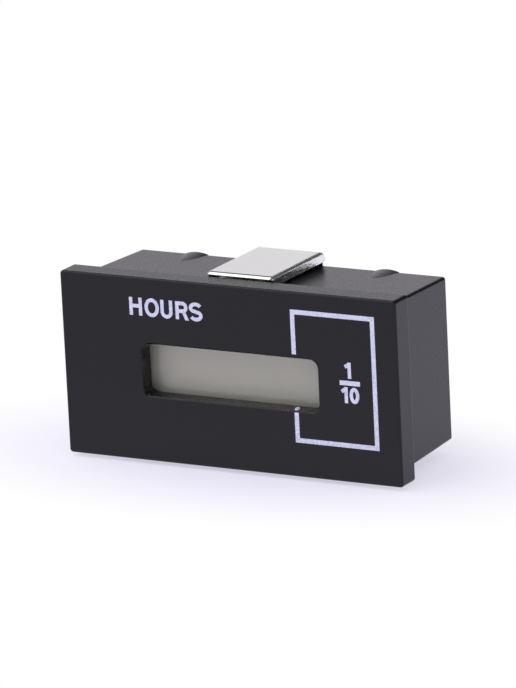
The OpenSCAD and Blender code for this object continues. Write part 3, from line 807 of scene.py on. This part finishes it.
def pale_floor():
    """Pale paper with a painted violet shade near the meter, plain white to the eye further away."""
    material, tree, place = start_material("pale_paper")
    paper = add_node(tree, "ShaderNodeBsdfDiffuse", sockets={"Color": linear(PAPER)})
    spot = add_node(tree, "ShaderNodeVectorMath", {"operation": "MULTIPLY_ADD"}, {
        0: place, 1: (FLOOR_SIDE_SHARE, 1, 0), 2: (0, -FLOOR_MIDDLE_Y_MM * MM, 0),
    })
    reach = add_node(tree, "ShaderNodeVectorMath", {"operation": "LENGTH"}, {0: spot.outputs[0]})
    whiter = add_node(tree, "ShaderNodeMapRange", {"interpolation_type": "SMOOTHSTEP"}, {
        "Value": reach.outputs["Value"],
        "From Min": FLOOR_WHITE_FROM_MM * MM, "From Max": FLOOR_WHITE_TO_MM * MM,
    })
    far_off = add_node(tree, "ShaderNodeMix", {"data_type": "FLOAT"}, {
        FACTOR: whiter.outputs[0], NUMBER_A: FLOOR_NEAR_WHITE, NUMBER_B: 1,
    })
    path = add_node(tree, "ShaderNodeLightPath")
    far_white = add_node(tree, "ShaderNodeMix", {"data_type": "RGBA"}, {
        FACTOR: path.outputs["Is Camera Ray"], COLOUR_A: linear(FLOOR_MIRROR_TINT), COLOUR_B: WHITE,
    })
    # Near the meter the glow takes a violet tint, painted shade; further off it is white.
    tint = add_node(tree, "ShaderNodeMix", {"data_type": "RGBA"}, {
        FACTOR: whiter.outputs[0], COLOUR_A: linear(FLOOR_PAINTED_SHADE_TINT),
        COLOUR_B: far_white.outputs[COLOUR_OUT],
    })
    depth = add_node(tree, "ShaderNodeSeparateXYZ", sockets={0: place}).outputs["Y"]
    mirrored = add_node(tree, "ShaderNodeMapRange", sockets={
        "Value": depth, "From Min": FLOOR_GLOW_FRONT_MM * MM, "From Max": FLOOR_GLOW_BACK_MM * MM,
        "To Min": 1, "To Max": FLOOR_GLOW_BACK,
    })
    glow = add_node(tree, "ShaderNodeMix", {"data_type": "FLOAT"}, {
        FACTOR: path.outputs["Is Camera Ray"], NUMBER_A: mirrored.outputs[0], NUMBER_B: 1,
    })
    white = add_node(tree, "ShaderNodeEmission", sockets={
        "Color": tint.outputs[COLOUR_OUT], "Strength": glow.outputs[0],
    })
    eye_or_metal = add_node(tree, "ShaderNodeMath", {"operation": "MAXIMUM"}, {
        0: path.outputs["Is Camera Ray"], 1: path.outputs["Is Glossy Ray"],
    })
    seen = add_node(tree, "ShaderNodeMath", {"operation": "MAXIMUM"}, {
        0: eye_or_metal.outputs[0], 1: path.outputs["Is Transmission Ray"],
    })
    share = add_node(tree, "ShaderNodeMath", {"operation": "MULTIPLY"}, {
        0: seen.outputs[0], 1: far_off.outputs[0],
    })
    mixed = add_node(tree, "ShaderNodeMixShader", sockets={
        0: share.outputs[0], 1: paper.outputs[0], 2: white.outputs[0],
    })
    return finish_material(material, mixed.outputs[0])


floor.data.materials.append(pale_floor())
print(f"floor at z {cad_low.z / MM:.1f} mm")

# %% [markdown]
# Behind the meter hangs a white backdrop, in a dark room with a pale ceiling. Matt surfaces get an
# even light from all round. In metal and in the sheen of the plastic, the surround is white near the
# floor, dark above the backdrop and paler again at the very top, and the backdrop leaves a dark
# doorway open at the right. The dark parts draw the edges of the case and the right flank of the
# clip, which an all-white room would wash out. Where each part begins is an angle in degrees: above
# the horizon, or away from the middle of the doorway.

# %% Surround
STUDIO_TINT = "#F8F2FD"
SURROUND_LIGHT = 0.7
HORIZON_ABOVE = 3
HORIZON_LEVEL = 1.25
BACKDROP_FROM = 12
BACKDROP_LEVEL = 0.94
BACKDROP_TOP = 22
DARK_FROM = 30
DARK_LEVEL = 0.08
CEILING_FROM = 62
CEILING_TO = 80
CEILING_LEVEL = 0.6
DOORWAY_TURN = 28
DOORWAY_EDGE = 42
DOORWAY_DARK = 30


def sine(degrees):
    """Height of a direction that rises this far above the horizon."""
    return math.sin(math.radians(degrees))


def cosine(degrees):
    """Share of one direction in another that is this far away from it."""
    return math.cos(math.radians(degrees))


def white_surround():
    """White to the eye, even light for matt surfaces, backdrop and dark room for mirror rays."""
    world = bpy.data.worlds.new("white_surround")
    world.use_nodes = True
    tree = world.node_tree
    tree.nodes.clear()
    way = add_node(tree, "ShaderNodeTexCoord").outputs["Generated"]
    rise = add_node(tree, "ShaderNodeSeparateXYZ", sockets={0: way}).outputs["Z"]
    backdrop = add_node(tree, "ShaderNodeMapRange", {"interpolation_type": "SMOOTHSTEP"}, {
        "Value": rise, "From Min": sine(HORIZON_ABOVE), "From Max": sine(BACKDROP_FROM),
        "To Min": HORIZON_LEVEL, "To Max": BACKDROP_LEVEL,
    })
    room = add_node(tree, "ShaderNodeMapRange", {"interpolation_type": "SMOOTHSTEP"}, {
        "Value": rise, "From Min": sine(BACKDROP_TOP), "From Max": sine(DARK_FROM),
    })
    ceiling = add_node(tree, "ShaderNodeMapRange", {"interpolation_type": "SMOOTHSTEP"}, {
        "Value": rise, "From Min": sine(CEILING_FROM), "From Max": sine(CEILING_TO),
        "To Min": DARK_LEVEL, "To Max": CEILING_LEVEL,
    })
    toward = add_node(tree, "ShaderNodeVectorMath", {"operation": "DOT_PRODUCT"}, {
        0: way, 1: (sine(DOORWAY_TURN), cosine(DOORWAY_TURN), 0),
    })
    doorway = add_node(tree, "ShaderNodeMapRange", {"interpolation_type": "SMOOTHSTEP"}, {
        "Value": toward.outputs["Value"],
        "From Min": cosine(DOORWAY_EDGE), "From Max": cosine(DOORWAY_DARK),
    })
    dark = add_node(tree, "ShaderNodeMath", {"operation": "MAXIMUM"}, {
        0: room.outputs[0], 1: doorway.outputs[0],
    })
    mirrored = add_node(tree, "ShaderNodeMix", {"data_type": "FLOAT"}, {
        FACTOR: dark.outputs[0], NUMBER_A: backdrop.outputs[0], NUMBER_B: ceiling.outputs[0],
    })
    path = add_node(tree, "ShaderNodeLightPath")
    glossy = add_node(tree, "ShaderNodeMath", {"operation": "MAXIMUM"}, {
        0: path.outputs["Is Glossy Ray"], 1: path.outputs["Is Transmission Ray"],
    })
    lit = add_node(tree, "ShaderNodeMix", {"data_type": "FLOAT"}, {
        FACTOR: glossy.outputs[0], NUMBER_A: SURROUND_LIGHT, NUMBER_B: mirrored.outputs[0],
    })
    level = add_node(tree, "ShaderNodeMix", {"data_type": "FLOAT"}, {
        FACTOR: path.outputs["Is Camera Ray"], NUMBER_A: lit.outputs[0], NUMBER_B: 1,
    })
    colour = add_node(tree, "ShaderNodeMix", {"data_type": "RGBA"}, {
        FACTOR: path.outputs["Is Camera Ray"], COLOUR_A: linear(STUDIO_TINT), COLOUR_B: WHITE,
    })
    light = add_node(tree, "ShaderNodeBackground", sockets={
        "Color": colour.outputs[COLOUR_OUT], "Strength": level.outputs[0],
    })
    add_node(tree, "ShaderNodeOutputWorld", sockets={"Surface": light.outputs[0]})
    return world


bpy.context.scene.world = white_surround()
bpy.context.scene.view_settings.view_transform = "Standard"
print(f"surround: {SURROUND_LIGHT} for matt surfaces, {BACKDROP_LEVEL} for mirrors")

# %% [markdown]
# The softbox hangs above the meter, in front of it and to its left. It draws the bright line on the
# rolled lip of the clip and a soft shadow on the floor. It is an area lamp, large and weak: a small
# strong one would draw hard shadows.

# %% Softbox
SOFTBOX_MM = 800
SOFTBOX_PLACE_MM = (-300, -200, 600)
SOFTBOX_WATTS = 3.2

softbox = bpy.data.objects.new("softbox", bpy.data.lights.new("softbox", "AREA"))
softbox.data.size = SOFTBOX_MM * MM
softbox.data.energy = SOFTBOX_WATTS
softbox.location = Vector(SOFTBOX_PLACE_MM) * MM
softbox.rotation_euler = Vector(SOFTBOX_PLACE_MM).to_track_quat("Z", "Y").to_euler()
bpy.context.scene.collection.objects.link(softbox)
print(f"softbox: {SOFTBOX_MM} mm wide, {SOFTBOX_WATTS} W")
